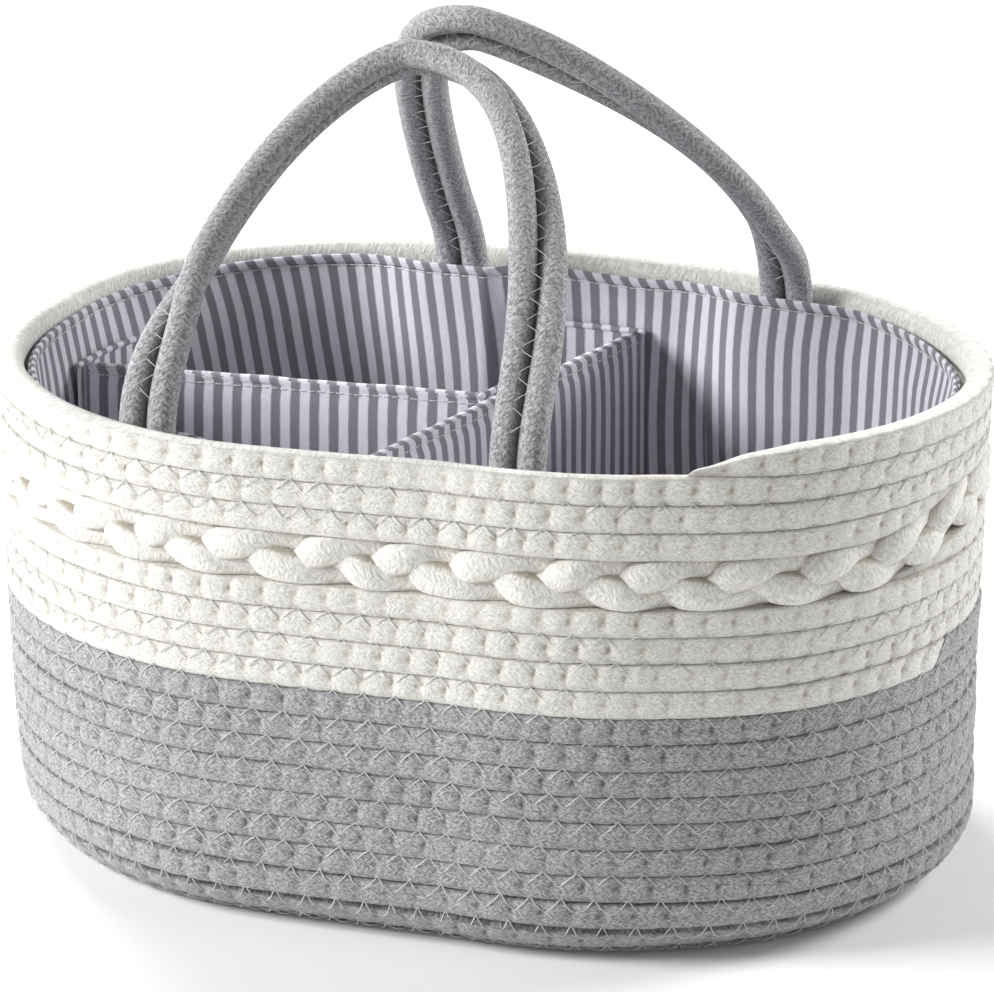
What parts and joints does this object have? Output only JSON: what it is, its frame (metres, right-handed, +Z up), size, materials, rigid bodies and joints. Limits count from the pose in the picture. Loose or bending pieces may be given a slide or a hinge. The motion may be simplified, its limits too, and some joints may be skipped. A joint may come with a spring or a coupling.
{
  "type": "diaper caddy",
  "caption": "Oval coiled-rope caddy with a plaited band, a striped cloth liner, two folding rope handles and lift-out padded dividers.",
  "frame": {"origin": "centre of the oval base, on the surface that the base stands on", "axes": "+X along the long side to the right, +Y to the back, +Z up"},
  "size_m": [0.3818, 0.2858, 0.3198],
  "materials": {
    "white_rope": "matte",
    "grey_rope": "matte",
    "striped_cotton": "matte",
    "board": "matte",
    "touch_tape": "matte"
  },
  "bodies": {
    "basket": {"base_coil": "grey_rope", "lower_wall_coil": "grey_rope", "middle_wall_coil": "white_rope", "upper_wall_coil": "white_rope", "braid_strand_1": "white_rope", "braid_strand_2": "white_rope", "braid_strand_3": "white_rope", "liner_wall": "striped_cotton", "liner_hem": "striped_cotton", "liner_floor": "striped_cotton", "front_handle_tail_1": "grey_rope", "front_handle_tail_2": "grey_rope", "front_handle_tail_3": "grey_rope", "front_handle_tail_4": "grey_rope", "rear_handle_tail_1": "grey_rope", "rear_handle_tail_2": "grey_rope", "rear_handle_tail_3": "grey_rope", "rear_handle_tail_4": "grey_rope", "cross_divider_front_loop_tape": "touch_tape", "cross_divider_rear_loop_tape": "touch_tape", "long_divider_left_loop_tape": "touch_tape"},
    "front_handle": {"front_handle_outer_rope": "grey_rope", "front_handle_inner_rope": "grey_rope"},
    "rear_handle": {"rear_handle_outer_rope": "grey_rope", "rear_handle_inner_rope": "grey_rope"},
    "cross_divider": {"cross_divider_cover": "striped_cotton", "cross_divider_board": "board", "cross_divider_binding": "striped_cotton", "cross_divider_front_flap": "striped_cotton", "cross_divider_front_hook_tape": "touch_tape", "cross_divider_rear_flap": "striped_cotton", "cross_divider_rear_hook_tape": "touch_tape", "long_divider_right_loop_tape": "touch_tape"},
    "long_divider": {"long_divider_cover": "striped_cotton", "long_divider_board": "board", "long_divider_binding": "striped_cotton", "long_divider_left_flap": "striped_cotton", "long_divider_left_hook_tape": "touch_tape", "long_divider_right_flap": "striped_cotton", "long_divider_right_hook_tape": "touch_tape"}
  },
  "joints": [
    {"name": "front_handle_hinge", "type": "hinge", "parent": "basket", "child": "front_handle", "pos_m": [-0.0118, -0.11686, 0.19401], "axis": [1, 0, 0], "range_deg": [0, 135]},
    {"name": "rear_handle_hinge", "type": "hinge", "parent": "basket", "child": "rear_handle", "pos_m": [0.0138, 0.11613, 0.19913], "axis": [-1, 0, 0], "range_deg": [0, 130]},
    {"name": "cross_divider_lift", "type": "slide", "parent": "basket", "child": "cross_divider", "axis": [0, 0, 1], "range_m": [0, 0.105]},
    {"name": "long_divider_lift", "type": "slide", "parent": "basket", "child": "long_divider", "axis": [0, 0, 1], "range_m": [0, 0.12]}
  ]
}
